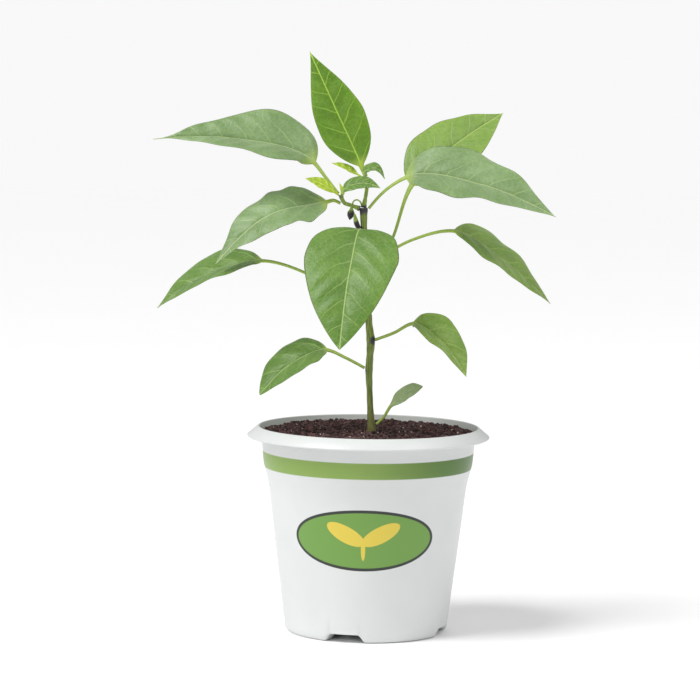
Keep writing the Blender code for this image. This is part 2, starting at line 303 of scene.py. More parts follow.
@dataclass(frozen=True)
class LeafCuticle:
    """Waxy leaf cuticle: satin mid green, pale sunken veins, paler underside."""

    name: str
    deep: str = "486F20"
    mid: str = "739540"
    vein: str = "B0C878"
    under: str = "B4C79A"
    stalk: str = "9DB552"
    rim: str = "3A3328"
    spacing: float = 11.0
    roughness: float = 0.42
    glow: float = 0.12
    contrast: float = 0.38
    bloom: float = 0.22

    def make(self) -> bpy.types.Material:
        """Build the material: veins follow the blade's own UV map, in millimetres."""
        p = Paint(self.name)
        uv = add_node(p.tree, "ShaderNodeUVMap", uv_map="veins").outputs[0]
        axes = add_node(p.tree, "ShaderNodeSeparateXYZ", None, {0: uv})
        along = p.math("MULTIPLY", axes.outputs["X"], 100.0)
        across = p.math("MULTIPLY", p.math("SUBTRACT", axes.outputs["Y"], 0.5), 100.0)
        off = p.math("ABSOLUTE", across)
        swept = p.math("SUBTRACT", along, p.math("MULTIPLY", off, 0.75))
        swept = p.math("SUBTRACT", swept, p.math("MULTIPLY", p.math("POWER", off, 2.0), 0.018))
        half = p.math("MULTIPLY", p.math("GREATER_THAN", across, 0.0), 0.45)
        wobble = p.math("MULTIPLY", p.noise(16, 2), 0.7)
        phase = p.math("ADD", p.math("ADD", p.math("DIVIDE", swept, self.spacing), half), wobble)
        side = p.math("ABSOLUTE", p.math("SUBTRACT", p.math("FRACT", phase), 0.5))
        side_mm = p.math("MULTIPLY", side, self.spacing)
        # Side veins are about 0.5 mm wide and fade towards the margin.
        side_vein = p.ramp(side_mm, 0.12, 0.5, 1.0, 0.0)
        reach = p.ramp(off, 2.0, 15.0, self.contrast, self.contrast * 0.15)
        side_vein = p.math("MULTIPLY", side_vein, reach)
        midrib = p.ramp(off, 0.15, 0.52, min(1.0, 1.9 * self.contrast), 0.0)
        veins = p.math("MAXIMUM", side_vein, midrib)
        net = add_node(p.tree, "ShaderNodeTexVoronoi", {"Scale": 1 / (2.6 * MM)},
                       {"Vector": p.place}, feature="DISTANCE_TO_EDGE").outputs["Distance"]
        mesh = p.ramp(net, 0.0, 0.12, 1.0, 0.0)
        tissue = p.mix(p.ramp(p.noise(16, 2), 0.25, 0.75, 0.25, 0.75), self.deep, self.mid)
        tissue = p.mix(p.math("MULTIPLY", mesh, 0.11), tissue, self.vein)
        speckle = p.ramp(p.noise(1.4), 0.4, 0.7, 0.0, 0.35)
        tissue = p.mix(speckle, tissue, self.deep)
        top = p.mix(veins, tissue, self.vein)
        below = p.mix(p.math("MULTIPLY", veins, 0.6), self.under, self.stalk)
        skin = p.mix(p.attribute("under"), top, below)
        skin = p.mix(p.ramp(p.attribute("rim"), 0.972, 0.995, 0.0, 0.75), skin, self.rim)
        colour = p.mix(p.attribute("blade"), self.stalk, skin)
        fine = p.bump(mesh, -0.08, 0.5, p.bump(p.noise(2.4), 0.22, 0.7))
        normal = p.bump(veins, -0.25, 0.7, fine)
        p.shader.inputs["Subsurface Radius"].default_value = (0.6, 1.0, 0.2)
        return p.finish(colour, normal, roughness=self.roughness, ior=1.45,
                        subsurface_weight=self.glow, subsurface_scale=1.2 * MM,
                        sheen_weight=self.bloom, sheen_roughness=0.35)


@dataclass(frozen=True)
class StemSkin:
    """Young stem epidermis: satin green with fine ridges, woody brown low, purple at nodes."""

    name: str
    green: str = "7C8C40"
    dark: str = "5A6A26"
    brown: str = "6E5A34"
    purple: str = "2F2838"

    def make(self) -> bpy.types.Material:
        """Build the material."""
        p = Paint(self.name)
        place = add_node(p.tree, "ShaderNodeMapping", {"Scale": (1, 1, 0.12)}, {"Vector": p.place})
        streak = add_node(p.tree, "ShaderNodeTexNoise", {"Scale": 1 / (0.7 * MM), "Detail": 2.0},
                          {"Vector": place.outputs[0]}).outputs[0]
        green = p.mix(p.ramp(streak, 0.35, 0.65), self.dark, self.green)
        height = add_node(p.tree, "ShaderNodeSeparateXYZ", None, {0: p.place}).outputs["Z"]
        low = p.math("MULTIPLY", p.ramp(height, 94 * MM, 118 * MM, 0.75, 0.0), streak)
        green = p.mix(p.math("MULTIPLY", low, 1.4), green, self.brown)
        stain = p.ramp(p.math("ADD", p.attribute("purple"), p.math("MULTIPLY", p.noise(1.5), 0.3)),
                       0.45, 0.85)
        colour = p.mix(stain, green, self.purple)
        return p.finish(colour, p.bump(streak, 0.12, 0.6), roughness=0.45, ior=1.45)


@dataclass
class Piece:
    """A mesh piece in millimetres that ends up on the frame.

    Args:
        name: name of the object.
        points: rows of x, y, z in millimetres.
        faces: lists of point numbers, wound so that they face outwards.
        material: the finish.
        slot: slot of the record; not used.
        replaces: CAD nodes that this piece stands for.
    """

    name: str
    points: np.ndarray
    faces: list[tuple[int, ...]]
    material: bpy.types.Material
    slot: Slot
    replaces: tuple[str, ...] = ()
    values: dict[str, np.ndarray] = field(default_factory=dict)
    uv: np.ndarray | None = None

    def object(self) -> bpy.types.Object:
        """Make the plain object, without telling the frame about it."""
        mesh = bpy.data.meshes.new(self.name)
        mesh.from_pydata((np.asarray(self.points, dtype=float) * MM).tolist(), [], self.faces)
        mesh.materials.append(self.material)
        mesh.shade_smooth()
        for key, numbers in self.values.items():
            layer = mesh.attributes.new(key, "FLOAT", "POINT")
            layer.data.foreach_set("value", np.asarray(numbers, dtype=np.float32))
        if self.uv is not None:
            corners = np.empty(len(mesh.loops), dtype=np.int32)
            mesh.loops.foreach_get("vertex_index", corners)
            layer = mesh.uv_layers.new(name="veins")
            layer.data.foreach_set("uv", self.uv[corners].astype(np.float32).ravel())
        item = bpy.data.objects.new(self.name, mesh)
        bpy.context.scene.collection.objects.link(item)
        return item

    def place(self) -> bpy.types.Object:
        return declare(self.object(), self.replaces)


def declare(item: bpy.types.Object, nodes: tuple[str, ...] = ()) -> bpy.types.Object:
    """Tell the frame what a finished piece rides on and replaces.

    Args:
        item: the finished object.
        nodes: CAD nodes that it stands for.

    Returns:
        The same object.
    """
    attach(item, BODY)
    if nodes:
        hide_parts(*nodes)
    LOG.info("%s: %d faces", item.name, len(item.data.polygons))
    return item


def smooth_line(knots: np.ndarray, steps: list[int]) -> np.ndarray:
    """Curve through the knots, whose columns past the third are carried along.

    Args:
        knots: rows of x, y, z and any further numbers.
        steps: points from each knot to the next.

    Returns:
        Rows like the knots', from the first knot to the last.
    """
    knots = np.array(knots, dtype=float)
    spans = np.linalg.norm(np.diff(knots[:, :3], axis=0), axis=1)
    slopes = np.diff(knots, axis=0) / spans[:, None]
    tangents = np.zeros_like(knots)
    before, after = spans[:-1, None], spans[1:, None]
    tangents[1:-1] = (slopes[:-1] * after + slopes[1:] * before) / (before + after)
    tangents[0] = 1.5 * slopes[0] - 0.5 * tangents[1]
    tangents[-1] = 1.5 * slopes[-1] - 0.5 * tangents[-2]
    line = []
    for i, span in enumerate(spans):
        for t in np.arange(steps[i]) / steps[i]:
            h = t * t * (3 - 2 * t)
            line.append((1 - h) * knots[i] + h * knots[i + 1]
                        + (t ** 3 - 2 * t * t + t) * span * tangents[i]
                        + (t ** 3 - t * t) * span * tangents[i + 1])
    line.append(knots[-1])
    return np.array(line)


def directions(line: np.ndarray) -> np.ndarray:
    """Unit direction of travel at each point of a line."""
    step = np.gradient(line, axis=0)
    return step / np.linalg.norm(step, axis=1)[:, None]


def square_to(direction: np.ndarray, guide: np.ndarray) -> np.ndarray:
    """The guide made square to the direction, at unit length."""
    side = guide - direction * float(guide @ direction)
    return side / np.linalg.norm(side)


def skin(rings: np.ndarray) -> tuple[np.ndarray, list[tuple[int, ...]]]:
    """Close a stack of rings into one shell with a fan at each end.

    Args:
        rings: stations by points by 3, each ring anticlockwise round its direction.

    Returns:
        Points and faces.
    """
    count, sides = rings.shape[:2]
    points = np.concatenate([rings.reshape(-1, 3), rings[0].mean(0)[None], rings[-1].mean(0)[None]])
    faces = []
    for i in range(count - 1):
        for k in range(sides):
            n = (k + 1) % sides
            a, b = i * sides + k, i * sides + n
            faces.append((a, b, b + sides, a + sides))
    foot, top, last = count * sides, count * sides + 1, (count - 1) * sides
    for k in range(sides):
        n = (k + 1) % sides
        faces.append((n, k, foot))
        faces.append((last + k, last + n, top))
    return points, faces


@dataclass
class NurseryPot:
    """The moulded pot, turned from its section, with foot notches and drain holes."""

    material: bpy.types.Material
    sides: int = 240
    wall: float = 0.8
    notch_first: float = -16.0
    notch_top: float = 9.6
    notch_foot: float = 15.5
    notch_height: float = 4.0
    drain_circle: float = 23.5
    drain_radius: float = 3.0
    drains: int = 8
    wall_line: tuple[tuple[float, float], ...] = (
        (4.0, 38.6), (61.0, 45.7), (67.0, 46.4), (70.0, 46.9), (75.5, 48.2),
        (79.5, 49.3), (82.0, 49.6), (89.0, 50.2), (94.8, 50.9),
    )

    def lip(self) -> list[tuple[float, float]]:
        """Section of the sloped lip, with its edge and crest rounded."""
        under = [(51.6, 95.6), (52.1, 95.6), (56.3, 92.1)]
        edge = self.arc((56.75, 92.55), 0.5, -130, 40, 6)
        crest = self.arc((51.95, 96.45), 0.55, 55, 190, 7)
        return under + edge + crest

    @staticmethod
    def arc(centre: tuple[float, float], radius: float, start: float, end: float,
            count: int) -> list[tuple[float, float]]:
        """Points on a round stretch of a section."""
        angles = np.radians(np.linspace(start, end, count))
        return [(centre[0] + radius * math.cos(a), centre[1] + radius * math.sin(a)) for a in angles]

    def section(self) -> list[tuple[float, float, float]]:
        """Closed section as radius, height and height inside a notch."""
        roof, inner_roof = self.notch_height, self.notch_height + self.wall
        rows = [(0, 0, 0), (15, 0, 0), (15.6, 0.3, 0.3), (17.1, 2.7, 2.7), (17.7, 3, 3), (29.3, 3, 3),
                (31.3, 0.3, roof), (31.9, 0, roof), (36.2, 0, roof), (37.3, 0.3, roof),
                (38.0, 1.1, roof), (38.45, 2.6, roof)]
        outer = smooth_line(np.array([(r, 0.0, z) for z, r in self.wall_line]), [6] + [3] * 7)
        rows += [(r, z, z) for r, _, z in outer]
        rows += [(r, z, z) for r, z in self.lip()]
        rows += [(50.5, 94.0, 94.0)]
        rows += [(r - self.wall, z, z) for r, _, z in outer[::-1][3:-1]]
        rows += [(37.8, 4.8, inner_roof), (37.1, 2.2, inner_roof), (35.9, 0.8, inner_roof),
                 (32.1, 0.8, inner_roof), (29.9, 3.8, 3.8), (17.1, 3.8, 3.8), (14.6, 0.8, 0.8),
                 (0, 0.8, 0.8)]
        return rows

    def notch_share(self, angle: np.ndarray) -> np.ndarray:
        """1 inside a foot notch, 0 away from it."""
        off = np.abs((angle - self.notch_first + 45) % 90 - 45)
        share = np.clip((self.notch_foot - off) / (self.notch_foot - self.notch_top), 0, 1)
        return share * share * (3 - 2 * share)

    def build(self) -> None:
        """Turn the section, cut the drain holes and place the pot."""
        angle = self.notch_first + np.arange(self.sides) * 360 / self.sides
        points, faces = turned(self.section(), angle, self.notch_share(angle))
        pot = Piece("nursery_pot", points, faces, self.material, Slot.POT).object()
        self.cut_drains(pot)
        pot.data.set_sharp_from_angle(angle=math.radians(50))
        declare(pot, ("pot",))

    def cut_drains(self, pot: bpy.types.Object) -> None:
        """Cut round holes through the raised ring of the floor."""
        rings = []
        for k in range(self.drains):
            around = 2 * math.pi * k / self.drains
            centre = np.array([math.sin(around), -math.cos(around)]) * self.drain_circle
            turn = 2 * math.pi * np.arange(24) / 24
            ring = centre + self.drain_radius * np.stack([np.cos(turn), np.sin(turn)], 1)
            rings.append(np.stack([np.c_[ring, np.full(24, z)] for z in (2.0, 4.8)]))
        points, faces = [], []
        for ring in rings:
            more, new = skin(ring)
            faces += [tuple(i + len(points) for i in face) for face in new]
            points += more.tolist()
        cutter = Piece("drain_cutter", np.array(points), faces, self.material, Slot.POT).object()
        modifier = pot.modifiers.new("drains", "BOOLEAN")
        modifier.operation, modifier.solver, modifier.object = "DIFFERENCE", "EXACT", cutter
        pot.data = evaluated_mesh(pot)
        pot.modifiers.clear()
        bpy.data.objects.remove(cutter, do_unlink=True)


def evaluated_mesh(item: bpy.types.Object) -> bpy.types.Mesh:
    """A plain copy of the object's mesh with its modifiers applied."""
    graph = bpy.context.evaluated_depsgraph_get()
    return bpy.data.meshes.new_from_object(item.evaluated_get(graph))


def turned(section: list[tuple[float, float, float]], angle: np.ndarray,
           lift: np.ndarray) -> tuple[np.ndarray, list[tuple[int, ...]]]:
    """Turn a section that starts and ends on the axis.

    Args:
        section: radius, height and lifted height of each point.
        angle: angles from the front towards +X, in degrees.
        lift: share of the lifted height at each angle.

    Returns:
        Points and faces.
    """
    turn, sides = np.radians(angle), len(angle)
    points, starts, faces = [], [], []
    for radius, height, lifted in section:
        starts.append(len(points))
        if radius == 0:
            points.append((0, 0, height))
            continue
        z = height + lift * (lifted - height)
        points += list(zip(radius * np.sin(turn), -radius * np.cos(turn), z))
    for i, (a, b) in enumerate(zip(starts[:-1], starts[1:])):
        for k in range(sides):
            n = (k + 1) % sides
            if section[i][0] == 0:
                faces.append((a, b + n, b + k))
            elif section[i + 1][0] == 0:
                faces.append((a + k, a + n, b))
            else:
                faces.append((a + k, a + n, b + n, b + k))
    return np.array(points, dtype=float), faces


@dataclass
class Scatter:
    """Geometry Nodes that strew small shapes over a surface.

    Args:
        name: name of the finished piece.
        shape: grain or fibre.
        material: finish of the shapes.
        density: shapes per square metre.
        smallest: smallest size in millimetres.
        largest: largest size in millimetres.
        seed: seed of the random numbers.
    """

    name: str
    shape: Crumb
    material: bpy.types.Material
    density: float
    smallest: float
    largest: float
    seed: int

    def tree(self) -> tuple[bpy.types.NodeTree, dict[str, str]]:
        """Build the node group.

        Returns:
            The group, and the identifier of each named input.
        """
        group = bpy.data.node_groups.new(self.name, "GeometryNodeTree")
        face = group.interface
        face.new_socket("Geometry", in_out="INPUT", socket_type="NodeSocketGeometry")
        ids = {}
        for key, kind in (("Density", "Float"), ("Smallest", "Float"), ("Largest", "Float"),
                          ("Seed", "Int")):
            socket = face.new_socket(key, in_out="INPUT", socket_type=f"NodeSocket{kind}")
            ids[key] = socket.identifier
        face.new_socket("Geometry", in_out="OUTPUT", socket_type="NodeSocketGeometry")
        entry = add_node(group, "NodeGroupInput").outputs
        spread = add_node(group, "GeometryNodeDistributePointsOnFaces", None,
                          {"Mesh": entry["Geometry"], "Density": entry["Density"],
                           "Seed": entry["Seed"]})
        size = add_node(group, "FunctionNodeRandomValue", None,
                        {"Min": entry["Smallest"], "Max": entry["Largest"], "Seed": entry["Seed"]},
                        data_type="FLOAT")
        lean = 3.14 if self.shape is Crumb.GRAIN else 0.35
        middle = 0.0 if self.shape is Crumb.GRAIN else 1.57
        turn = add_node(group, "FunctionNodeRandomValue",
                        {0: (middle - lean, -lean, -3.14), 1: (middle + lean, lean, 3.14)},
                        {"Seed": entry["Seed"]}, data_type="FLOAT_VECTOR")
        strewn = add_node(group, "GeometryNodeInstanceOnPoints", None,
                          {"Points": spread.outputs["Points"], "Instance": self.unit(group),
                           "Rotation": turn.outputs[0], "Scale": size.outputs[1]})
        real = add_node(group, "GeometryNodeRealizeInstances", None, {0: strewn.outputs[0]})
        rough = add_node(group, "ShaderNodeTexNoise", {"Scale": 900.0, "Detail": 1.0})
        shift = add_node(group, "ShaderNodeVectorMath", {1: (0.5, 0.5, 0.5)},
                         {0: rough.outputs["Color"]}, operation="SUBTRACT")
        amount = 1.4 * MM if self.shape is Crumb.GRAIN else 0.8 * MM
        scaled = add_node(group, "ShaderNodeVectorMath", {"Scale": amount}, {0: shift.outputs[0]},
                          operation="SCALE")
        moved = add_node(group, "GeometryNodeSetPosition", None,
                         {"Geometry": real.outputs[0], "Offset": scaled.outputs[0]})
        dressed = add_node(group, "GeometryNodeSetMaterial", {"Material": self.material},
                           {"Geometry": moved.outputs[0]})
        add_node(group, "NodeGroupOutput", None, {0: dressed.outputs[0]})
        return group, ids

    def unit(self, group: bpy.types.NodeTree) -> bpy.types.NodeSocket:
        """The shape itself, one unit across."""
        if self.shape is Crumb.GRAIN:
            ball = add_node(group, "GeometryNodeMeshUVSphere",
                            {"Segments": 7, "Rings": 5, "Radius": 0.5})
            return ball.outputs["Mesh"]
        rod = add_node(group, "GeometryNodeMeshCylinder",
                       {"Vertices": 5, "Side Segments": 6, "Radius": 0.022, "Depth": 1.0})
        return rod.outputs["Mesh"]

    def build(self, ground: bpy.types.Object) -> None:
        """Strew the shapes over the ground and place the plain mesh that results."""
        group, ids = self.tree()
        carrier = bpy.data.objects.new("carrier", ground.data)
        bpy.context.scene.collection.objects.link(carrier)
        modifier = carrier.modifiers.new("strew", "NODES")
        modifier.node_group = group
        sizes = {"Density": self.density, "Smallest": self.smallest * MM,
                 "Largest": self.largest * MM, "Seed": self.seed}
        for key, value in sizes.items():
            modifier[ids[key]] = value
        item = bpy.data.objects.new(self.name, evaluated_mesh(carrier))
        bpy.data.objects.remove(carrier, do_unlink=True)
        bpy.context.scene.collection.objects.link(item)
        item.data.shade_smooth()
        declare(item)


@dataclass
class PottingSoil:
    """The compost: a lumpy bed with crumbs, grit and fibres strewn over it."""

    material: bpy.types.Material
    scatters: list[Scatter]
    edge: float = 50.1
    middle_height: float = 94.6
    edge_height: float = 94.4
    stem: tuple[float, float] = (1.6, -12.0)
    sides: int = 144
    rings: int = 46

    def height(self, x: float, y: float) -> float:
        """Height of the lumpy surface, mounded a little at the stem."""
        share = math.hypot(x, y) / self.edge
        base = self.middle_height + (self.edge_height - self.middle_height) * share * share
        lumps = noise.fractal(Vector((x / 5, y / 5, 0.3)), 1.0, 2.2, 4)
        away = math.hypot(x - self.stem[0], y - self.stem[1])
        return base + 0.75 * lumps + 0.9 * math.exp(-(away / 6) ** 2)

    def top(self) -> list[list[tuple[float, float, float]]]:
        """Rings of surface points from the edge inwards."""
        rows = []
        for i in range(self.rings):
            radius = self.edge * (1 - i / self.rings)
            turn = [2 * math.pi * k / self.sides for k in range(self.sides)]
            flat = [(radius * math.sin(t), -radius * math.cos(t)) for t in turn]
            rows.append([(x, y, self.height(x, y)) for x, y in flat])
        return rows

    def build(self) -> None:
        """Place the bed, then strew over its top."""
        turn = [2 * math.pi * k / self.sides for k in range(self.sides)]
        side_line = [(30.0, 4.2), (37.4, 5.3), (44.5, 61.0), (45.8, 70.0), (48.2, 80.0), (49.2, 90.0)]
        walls = [[(r * math.sin(t), -r * math.cos(t), z) for t in turn] for r, z in side_line]
        rows = walls + self.top()
        points, faces = skin(np.array(rows))
        bed = Piece("compost_bed", points, faces, self.material, Slot.SOIL, ("potting_soil",))
        bed.place()
        surface = np.array(self.top()[1:])
        points, faces = skin(surface)
        open_faces = [f for f in faces if len(points) - 2 not in f]
        ground = Piece("ground", points, open_faces, self.material, Slot.SOIL).object()
        for scatter in self.scatters:
            scatter.build(ground)
        bpy.data.objects.remove(ground, do_unlink=True)


@dataclass
class Shoot:
    """A stem, branch or bud: a tube with a varying radius, ridged and stained at its nodes.

    Args:
        name: name of the piece.
        node: CAD node that it stands for.
        knots: x, y, z and radius along the centre line.
        material: the finish.
        slot: slot of the record.
        nodes: x, y, z and reach of each dark ring.
        ridge: depth of the lengthways ridges, as a share of the radius.
    """

    name: str
    node: str
    knots: tuple[tuple[float, float, float, float], ...]
    material: bpy.types.Material
    slot: Slot
    nodes: tuple[tuple[float, float, float, float], ...] = ()
    ridge: float = 0.04
    ridges: int = 5
    sides: int = 24
    steps: int = 10

    def build(self) -> None:
        """Loft the tube and place it."""
        line = smooth_line(np.array(self.knots), [self.steps] * (len(self.knots) - 1))
        guide = np.array((0.0, 1.0, 0.0))
        turn = 2 * math.pi * np.arange(self.sides) / self.sides
        rings = []
        for i, (row, way) in enumerate(zip(line, directions(line[:, :3]))):
            side = square_to(way, guide)
            up = np.cross(way, side)
            wave = 1 + self.ridge * np.cos(self.ridges * turn + 0.02 * i)
            lump = 1 + 0.03 * math.sin(i * 0.9) + 0.02 * math.sin(i * 0.37)
            reach = (row[3] * wave * lump)[:, None]
            rings.append(row[:3] + reach * (np.cos(turn)[:, None] * side + np.sin(turn)[:, None] * up))
        points, faces = skin(np.array(rings))
        stain = np.zeros(len(points))
        for x, y, z, reach in self.nodes:
            away = np.linalg.norm(points - np.array((x, y, z)), axis=1) / reach
            stain = np.maximum(stain, np.exp(-away ** 2))
        Piece(self.name, points, faces, self.material, self.slot, (self.node,),
              {"purple": stain}).place()


@dataclass
class Leaf:
    """A leaf: a round petiole that widens into a folded, arched, puckered blade.

    Args:
        node: CAD node that it stands for.
        start: first point of the petiole, or where its line meets the stem's centre line.
        stem_radius: radius of the stem at the start, or 0 where the petiole starts there.
        base: where the petiole meets the blade.
        tip: the blade's tip.
        arches: rise of the petiole and of the blade above their chords.
        width: widest width of the blade.
        turn: turn of the blade about its midrib, in degrees.
        fold: rise of each half, in degrees.
        outline: exponents of the outline towards the base and the tip.
        material: the finish.
        wave: height of the margin's waves.
        waves: number of waves along each margin.
        uneven: how far the outline swells and narrows, as a share of the half width.
        lobes: number of those swells along each margin.
        seed: shifts the waves and puckers.
    """

    node: str
    start: tuple[float, float, float]
    stem_radius: float
    base: tuple[float, float, float]
    tip: tuple[float, float, float]
    arches: tuple[float, float]
    width: float
    turn: float
    fold: float
    outline: tuple[float, float]
    material: bpy.types.Material
    stalk: float = 0.7
    wave: float = 0.3
    waves: float = 2.0
    uneven: float = 0.035
    lobes: float = 3.0
    seed: int = 0
    slot: Slot = Slot.LEAF
    camber: float = 0.2
    spacing: float = 11.0
    thickness: float = 0.34
    stations: int = 96

    # Shares of the half width: close together at the midrib and at the margin.
    ACROSS = (0.0, 0.02, 0.045, 0.08, 0.13, 0.19, 0.26, 0.33, 0.41, 0.49, 0.57, 0.65, 0.73, 0.8,
              0.87, 0.93, 0.97, 1.0)

    def line(self) -> tuple[np.ndarray, int]:
        """Centre line of petiole and blade, and the number of its petiole steps."""
        base, tip = np.array(self.base, dtype=float), np.array(self.tip, dtype=float)
        start = np.array(self.start, dtype=float)
        rise = [np.array((0.0, 0.0, h)) for h in self.arches]
        if self.stem_radius:
            aim = (start + base) / 2 + rise[0] - start
            aim = aim / np.linalg.norm(aim)
            sine = math.sqrt(1 - aim[2] ** 2)
            start = start + aim * (self.stem_radius + 0.1 + self.stalk * abs(aim[2])) / sine
        knots = np.array([start, (start + base) / 2 + rise[0], base, (base + tip) / 2 + rise[1], tip])
        stalk, blade = 14, self.stations // 2
        return smooth_line(knots, [stalk, stalk, blade, blade]), 2 * stalk

    def half_width(self, t: float) -> float:
        """Half the blade's width at share t of its length."""
        a, b = self.outline
        widest = a / (a + b)
        peak = widest ** a * (1 - widest) ** b
        return self.width / 2 * t ** a * (1 - t) ** b / peak

    def relief(self, t: float, along: float, across: np.ndarray, v: np.ndarray) -> np.ndarray:
        """Height of puckers, sunken veins and margin waves over the smooth blade."""
        off = np.abs(across)
        phase = (along - 0.75 * off - 0.018 * off ** 2) / self.spacing
        phase = phase + np.where(across > 0, 0.45, 0.0)
        inner = np.clip(np.abs(v) * 6, 0, 1) * np.clip((1 - np.abs(v)) * 3, 0, 1)
        ends = min(1.0, 6 * t) * min(1.0, 4 * (1 - t))
        pucker = 0.26 * np.cos(2 * math.pi * phase) * inner * ends
        rib = -0.30 * np.exp(-(across / 0.9) ** 2) * ends
        side = np.where(across > 0, 0.0, 2.1)
        beat = np.sin(2 * math.pi * self.waves * t + side + self.seed)
        beat = beat + 0.5 * np.sin(2 * math.pi * self.waves * 1.9 * t - side + 2 * self.seed)
        return pucker + rib + self.wave * beat * np.abs(v) ** 3 * ends

    def build(self) -> None:
        """Loft the leaf as a closed shell with its veins' UV map, and place it."""
        line, first = self.line()
        chord = np.array(self.tip, dtype=float) - np.array(self.base, dtype=float)
        guide = np.array((-chord[1], chord[0], 0.0)) / math.hypot(chord[0], chord[1])
        half = np.array(self.ACROSS)
        v_top = np.concatenate([half[::-1], -half[1:]])
        v = np.concatenate([v_top, v_top[-2:0:-1]])
        below = np.concatenate([np.zeros(len(v_top)), np.ones(len(v) - len(v_top))])
        sign = 1 - 2 * below
        turn = math.radians(self.turn)
        run = np.concatenate([[0], np.cumsum(np.linalg.norm(np.diff(line, axis=0), axis=1))])
        run = run - run[first]
        rings, uv, blades, rims = [], [], [], []
        for i, (point, way) in enumerate(zip(line, directions(line))):
            t = (i - first) / (len(line) - 1 - first)
            share, blade = min(0.999, max(0.0, t)), min(1.0, max(0.0, t / 0.08))
            flat, raised = square_to(way, guide), None
            raised = np.cross(way, flat)
            side = math.cos(turn) * flat + math.sin(turn) * raised
            up = np.cross(way, side)
            stalk = self.stalk * (1 - 0.85 * share)
            beat = 2 * math.pi * (self.lobes * share + 0.4 * self.seed)
            uneven = np.where(v > 0, math.sin(beat), math.sin(1.15 * beat + 1.9))
            wing = stalk * (1 + 0.9 * math.exp(-abs(run[i]) / 7))
            reach = math.hypot(wing, self.half_width(share))
            reach = reach * (1 + self.uneven * uneven * min(1.0, 5 * share) * (1 - share))
            thick = self.thickness / 2 + (self.stalk - self.thickness / 2) * math.exp(-share / 0.1)
            rib = 0.55 * (1 - share) * blade
            fold = math.radians(self.fold) * blade
            across = reach * v
            height = sign * thick * np.sqrt(np.clip(1 - v * v, 0, 1))
            height = height - below * rib * np.exp(-(across / 0.8) ** 2)
            shape = np.abs(across) * math.sin(fold) - self.camber * reach * v * v * blade
            shape = shape + self.relief(share, run[i], across, v) * blade
            rings.append(point + np.outer(across * math.cos(fold), side)
                         + np.outer(height + shape, up))
            uv.append(np.stack([np.full(len(v), run[i] / 100), across / 100 + 0.5], 1))
            blades.append(np.full(len(v), blade))
            rims.append(np.abs(v) * (blade > 0.5))
        points, faces = skin(np.array(rings))
        ends = np.array([uv[0].mean(0), uv[-1].mean(0)])
        values = {
            "blade": np.concatenate(blades + [[0, 1]]),
            "under": np.concatenate([below] * len(rings) + [[0, 0]]),
            "rim": np.concatenate(rims + [[0, 0]]),
        }
        Piece(self.node + "_blade", points, faces, self.material, self.slot, (self.node,), values,
              np.concatenate(uv + [ends])).place()


